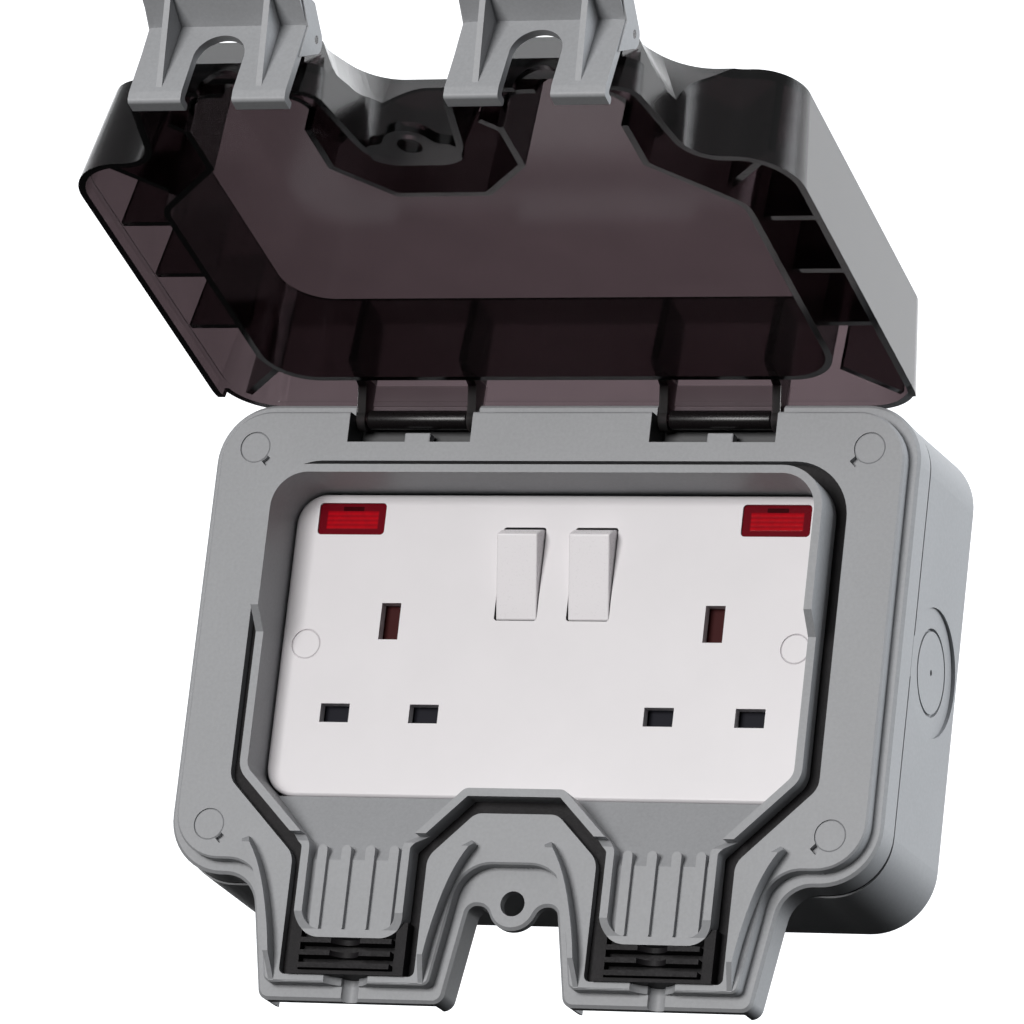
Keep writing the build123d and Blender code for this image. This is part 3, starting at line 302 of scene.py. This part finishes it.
def ribbed_lens(bright, rim, sizes):
    """Red window: a deep rim round a ribbed bright field, with the lamp's holder showing at the top."""
    mat, tree, skin, place = fresh("ribbed_lens")
    x, _, z = split(tree, place)
    across = reckon(tree, "SUBTRACT", reckon(tree, "ABSOLUTE", x), sizes.lens_x)
    up = reckon(tree, "SUBTRACT", z, sizes.lens_z)
    field = reckon(
        tree, "MULTIPLY", inside(tree, across, -6.4, 6.4, 0.25), inside(tree, up, -2.3, 2.0, 0.2)
    )
    holder = reckon(
        tree, "MULTIPLY", inside(tree, across, -2.5, 2.5, 0.2), inside(tree, up, 2.1, 3.0, 0.15)
    )
    wave = reckon(tree, "SINE", reckon(tree, "MULTIPLY", up, tau / sizes.lens_rib))
    ribs = reckon(tree, "MULTIPLY_ADD", wave, 0.22, 0.78)
    clouds = ranged(tree, speckle(tree, place, 900.0, 3.0), 0.8, 1.1)
    glow = reckon(tree, "MULTIPLY", reckon(tree, "MULTIPLY", field, ribs), clouds)
    depth = reckon(tree, "SUBTRACT", reckon(tree, "MULTIPLY_ADD", glow, 0.75, 0.25), holder)
    ramp = tree.nodes.new("ShaderNodeValToRGB")
    ramp.color_ramp.elements[0].color = (*shade(rim, 0.3), 1.0)
    ramp.color_ramp.elements[1].color = (*bright, 1.0)
    ramp.color_ramp.elements.new(0.25).color = (*rim, 1.0)
    tree.links.new(depth, ramp.inputs["Fac"])
    tree.links.new(ramp.outputs["Color"], skin.inputs["Base Color"])
    skin.inputs["Roughness"].default_value = 0.12
    skin.inputs["Specular IOR Level"].default_value = 0.06
    dimpled(tree, skin, glow, 0.1, 0.1)
    return mat


def shutter_plastic(low, high):
    """Dark moulding that turns red-brown towards its upper end."""
    mat, tree, skin, place = fresh("shutter_plastic")
    flow = speckle(tree, place, 400.0, 3.0)
    top = inside(tree, split(tree, place)[2], -5.0, 40.0, 2.0)
    blend = reckon(tree, "MULTIPLY_ADD", flow, 0.2, top)
    tree.links.new(graded(tree, blend, low, high, 0.15, 1.0), skin.inputs["Base Color"])
    skin.inputs["Roughness"].default_value = 0.5
    skin.inputs["Specular IOR Level"].default_value = 0.08
    dimpled(tree, skin, flow, 0.1, 0.03)
    return mat


def soft_rubber(tone):
    """Black rubber with a dusty bloom."""
    mat, tree, skin, place = fresh("soft_rubber")
    bloom = speckle(tree, place, 220.0, 4.0)
    grain = speckle(tree, place, 3000.0, 2.0)
    tree.links.new(graded(tree, bloom, tone, shade(tone, 1.9), 0.4, 0.75), skin.inputs["Base Color"])
    tree.links.new(ranged(tree, grain, 0.52, 0.68), skin.inputs["Roughness"])
    skin.inputs["Specular IOR Level"].default_value = 0.25
    dimpled(tree, skin, grain, 0.2, 0.04)
    return mat


def drawn_metal(name, tone, rough):
    """Metal with fine drawing lines along X."""
    mat, tree, skin, place = fresh(name)
    stretch = tree.nodes.new("ShaderNodeMapping")
    stretch.inputs["Scale"].default_value = (0.06, 1.0, 1.0)
    tree.links.new(place, stretch.inputs["Vector"])
    lines = speckle(tree, stretch.outputs["Vector"], 2400.0, 3.0)
    tree.links.new(graded(tree, lines, shade(tone, 0.88), shade(tone, 1.08)), skin.inputs["Base Color"])
    tree.links.new(ranged(tree, lines, rough - 0.08, rough + 0.1), skin.inputs["Roughness"])
    skin.inputs["Metallic"].default_value = 1.0
    dimpled(tree, skin, lines, 0.15, 0.02)
    return mat


def dress(mat, *names):
    """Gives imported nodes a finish."""
    for name in names:
        mesh = NODES[name].data
        mesh.materials.clear()
        mesh.materials.append(mat)


def rounded(bm, edges, width):
    """Rounds edges by a width in millimetres."""
    bmesh.ops.bevel(
        bm, geom=edges, offset=width * MM, affect="EDGES", segments=3, profile=0.5, material=-1
    )


def settle(name, bm, mat, body):
    """Turns a finished bmesh into a piece that rides on a body."""
    bmesh.ops.recalc_face_normals(bm, faces=bm.faces)
    mesh = bpy.data.meshes.new(name)
    bm.to_mesh(mesh)
    bm.free()
    mesh.materials.append(mat)
    piece = bpy.data.objects.new(name, mesh)
    bpy.context.scene.collection.objects.link(piece)
    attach(piece, body)
    return piece


class SOCKET_OT_housing(Operator):
    """Grey pitted finish on the box, frame, caps and latches, painted shade inside the frame's hinge bays, and a
    stop block in each hinge bay
    """

    bl_idname = "socket.housing"
    bl_label = "Housing"

    def execute(self, context):
        tones = context.scene.socket_colours
        grey = spark_plastic("spark_plastic", tones.housing)
        dress(grey, "back_box", "frame_screw_caps", "left_latch", "right_latch")
        # painted shade: the frame's grey turns nearly black inside the hinge bays
        frame_with_painted_shade = spark_plastic("frame_plastic_painted_shade", tones.housing)
        dress(paint_shade(frame_with_painted_shade, HINGE_BAY_SHADE, shade(tones.housing, 0.15)), "front_frame")
        for side, sx in SIDES:
            bm = bmesh.new()
            stretch = Matrix.Diagonal((*(size * MM for size in STOP_SIZE), 1.0))
            place = Matrix.Translation(spot(sx * HINGE_X, STOP_HEIGHT, STOP_Z))
            bmesh.ops.create_cube(bm, size=1.0, matrix=place @ stretch)
            rounded(bm, bm.edges[:], STOP_EDGE)
            settle(side + "_hinge_stop", bm, grey, "base")
        return {"FINISHED"}


class SOCKET_OT_lid(Operator):
    """Smoked finish on the lid, and its barrel round each hinge pin"""

    bl_idname = "socket.lid"
    bl_label = "Lid"

    def execute(self, context):
        tones = context.scene.socket_colours
        radius = context.scene.socket_sizes.barrel
        dress(smoked_plastic(tones.smoke, tones.smoke_depth), "lid")
        core = smooth_plastic("barrel_plastic", shade(tones.smoke, 0.03), 0.3, gloss=0.35)
        along = Matrix.Rotation(radians(90), 4, "Y")
        for side, sx in SIDES:
            bm = bmesh.new()
            place = Matrix.Translation(spot(sx * HINGE_X, HINGE_HEIGHT, HINGE_Z))
            bmesh.ops.create_cone(
                bm, cap_ends=True, segments=BARREL_SIDES, radius1=radius, radius2=radius,
                depth=BARREL_LENGTH * MM, matrix=place @ along,
            )
            rims = [edge for edge in bm.edges if abs((edge.verts[1].co - edge.verts[0].co).x) < 1e-6]
            rounded(bm, rims, BARREL_EDGE)
            barrel = settle(side + "_hinge_barrel", bm, core, "lid")
            # the flat ends are the only faces without four corners
            for face in barrel.data.polygons:
                face.use_smooth = len(face.vertices) == 4
        return {"FINISHED"}


class SOCKET_OT_seals(Operator):
    """Rubber finish on the seals"""

    bl_idname = "socket.seals"
    bl_label = "Seals"

    def execute(self, context):
        rubber = soft_rubber(context.scene.socket_colours.rubber)
        dress(rubber, "box_seal", "lid_seal", "left_cable_seal", "right_cable_seal")
        return {"FINISHED"}


class SOCKET_OT_plate(Operator):
    """White finish on the plate, rockers and caps, duller on the rear cover, dark on the shutters; painted shade
    on the walls of the rocker openings, and painted light as a lighter white on the rockers
    """

    bl_idname = "socket.plate"
    bl_label = "Plate and switches"

    def execute(self, context):
        tones = context.scene.socket_colours
        dress(smooth_plastic("white_plastic", tones.plate, 0.34), "plate_screw_caps")
        # painted shade: the plate's white turns nearly black on the walls of the rocker openings
        plate_with_painted_shade = smooth_plastic("plate_plastic_painted_shade", tones.plate, 0.34)
        dress(paint_shade(plate_with_painted_shade, ROCKER_WELL_SHADE, shade(tones.plate, 0.015)), "socket_plate")
        # painted light: the rockers take a lighter copy of the plate's white
        dress(smooth_plastic("rocker_plastic_painted_light", shade(tones.plate, 1.12), 0.3), "left_rocker", "right_rocker")
        dress(smooth_plastic("cover_plastic", shade(tones.plate, 0.7), 0.45), "socket_rear_cover")
        dress(shutter_plastic(tones.shutter, tones.shutter_top), "left_shutter", "right_shutter")
        return {"FINISHED"}


class SOCKET_OT_indicators(Operator):
    """Red windows and the lamps behind them"""

    bl_idname = "socket.indicators"
    bl_label = "Indicators"

    def execute(self, context):
        tones = context.scene.socket_colours
        sizes = context.scene.socket_sizes
        dress(ribbed_lens(tones.lens, tones.lens_rim, sizes), "left_neon_lens", "right_neon_lens")
        dress(smooth_plastic("lamp_glass", tones.lamp, 0.1, 0.6), "left_neon_lamp", "right_neon_lamp")
        return {"FINISHED"}


class SOCKET_OT_metalwork(Operator):
    """Brass contacts and steel fixings"""

    bl_idname = "socket.metalwork"
    bl_label = "Metalwork"

    def execute(self, context):
        tones = context.scene.socket_colours
        brass = drawn_metal("rolled_brass", tones.brass, 0.32)
        dress(brass, "earth_bar", "neutral_bar", "line_feed")
        dress(brass, "left_line_contact", "right_line_contact", "left_switch_blade", "right_switch_blade")
        steel = drawn_metal("plated_steel", tones.steel, 0.36)
        dress(steel, "frame_screws", "plate_screws", "cover_screw", "terminal_screws")
        dress(steel, "left_hinge_pin", "right_hinge_pin")
        return {"FINISHED"}


def lay_floor(scene):
    """Plain pale floor well below the socket, which hangs on a wall."""
    bm = bmesh.new()
    bmesh.ops.create_grid(bm, x_segments=1, y_segments=1, size=FLOOR_HALF)
    bmesh.ops.translate(bm, verts=bm.verts, vec=(0.0, 0.0, FLOOR_Z))
    mesh = bpy.data.meshes.new("floor")
    bm.to_mesh(mesh)
    bm.free()
    mat, _, skin, _ = fresh("pale_floor")
    skin.inputs["Base Color"].default_value = FLOOR_TONE
    skin.inputs["Roughness"].default_value = 0.9
    mesh.materials.append(mat)
    floor = bpy.data.objects.new("floor", mesh)
    floor.visible_diffuse = False
    floor.visible_glossy = False
    scene.collection.objects.link(floor)


def light_room(scene):
    """White sweep behind the socket, dim room in front of it, dark below; through the lid it dims to the left."""
    world = bpy.data.worlds.new("studio")
    scene.world = world
    world.use_nodes = True
    room = world.node_tree
    sky = room.nodes["Background"]
    bearing = room.nodes.new("ShaderNodeTexCoord")
    x, y, z = split(room, bearing.outputs["Generated"])
    rays = room.nodes.new("ShaderNodeLightPath")
    bent, straight = rays.outputs["Is Transmission Ray"], rays.outputs["Is Camera Ray"]
    level = reckon(room, "MULTIPLY", mapped(room, y, ROOM_BEHIND), mapped(room, z, ROOM_ABOVE))
    through = reckon(room, "MULTIPLY", bent, mapped(room, x, ROOM_THROUGH))
    level = reckon(room, "MULTIPLY_ADD", level, reckon(room, "SUBTRACT", 1.0, bent), through)
    level = reckon(room, "MAXIMUM", level, reckon(room, "MULTIPLY", straight, BACKDROP))
    room.links.new(level, sky.inputs["Strength"])
    sky.inputs["Color"].default_value = SKY_TONE
    scene.view_settings.view_transform = "Standard"


def hang_lamps(scene):
    """Soft key lamp from the front and a cooler one from the right."""
    for name, place, size, power, tone, glossy in LAMPS:
        light = bpy.data.lights.new(name, "AREA")
        light.color = tone
        light.size = size
        light.energy = power
        lamp = bpy.data.objects.new(name, light)
        lamp.location = place
        lamp.rotation_euler = (LAMP_AIM - place).to_track_quat("-Z", "Y").to_euler()
        lamp.visible_glossy = glossy
        scene.collection.objects.link(lamp)


def set_camera(scene):
    """Camera at the photograph's place, with the photograph's long lens."""
    camera = bpy.data.cameras.new("camera")
    camera.sensor_width = EYE_SENSOR
    camera.lens = EYE_LENS
    camera.clip_start = 0.05
    camera.clip_end = 50.0
    eye = bpy.data.objects.new("camera", camera)
    turn = Matrix((EYE_RIGHT, -EYE_DOWN, -EYE_AHEAD)).transposed().to_4x4()
    eye.matrix_world = Matrix.Translation(EYE_PLACE) @ turn
    scene.collection.objects.link(eye)
    scene.camera = eye


class SOCKET_OT_stage(Operator):
    """Pale floor, soft light and the camera"""

    bl_idname = "socket.stage"
    bl_label = "Stage"

    def execute(self, context):
        for step in (lay_floor, light_room, hang_lamps, set_camera):
            step(context.scene)
        return {"FINISHED"}


class SOCKET_PT_panel(Panel):
    """Lists the steps that finish the socket"""

    bl_label = "Outdoor Socket"
    bl_idname = "SOCKET_PT_panel"
    bl_space_type = "VIEW_3D"
    bl_region_type = "UI"
    bl_category = "Socket"

    def draw(self, context):
        for step in STEPS:
            self.layout.operator(step.bl_idname)
        for group in (context.scene.socket_colours, context.scene.socket_sizes):
            for name in group.__annotations__:
                self.layout.prop(group, name)


STEPS = (
    SOCKET_OT_housing,
    SOCKET_OT_lid,
    SOCKET_OT_seals,
    SOCKET_OT_plate,
    SOCKET_OT_indicators,
    SOCKET_OT_metalwork,
    SOCKET_OT_stage,
)
CLASSES = (SocketColours, SocketSizes, *STEPS, SOCKET_PT_panel)


def register():
    for cls in CLASSES:
        bpy.utils.register_class(cls)
    bpy.types.Scene.socket_colours = PointerProperty(type=SocketColours)
    bpy.types.Scene.socket_sizes = PointerProperty(type=SocketSizes)


def unregister():
    del bpy.types.Scene.socket_sizes
    del bpy.types.Scene.socket_colours
    for cls in reversed(CLASSES):
        bpy.utils.unregister_class(cls)


def main():
    register()
    bpy.ops.socket.housing()
    bpy.ops.socket.lid()
    bpy.ops.socket.seals()
    bpy.ops.socket.plate()
    bpy.ops.socket.indicators()
    bpy.ops.socket.metalwork()
    bpy.ops.socket.stage()


if __name__ == "__main__":
    main()
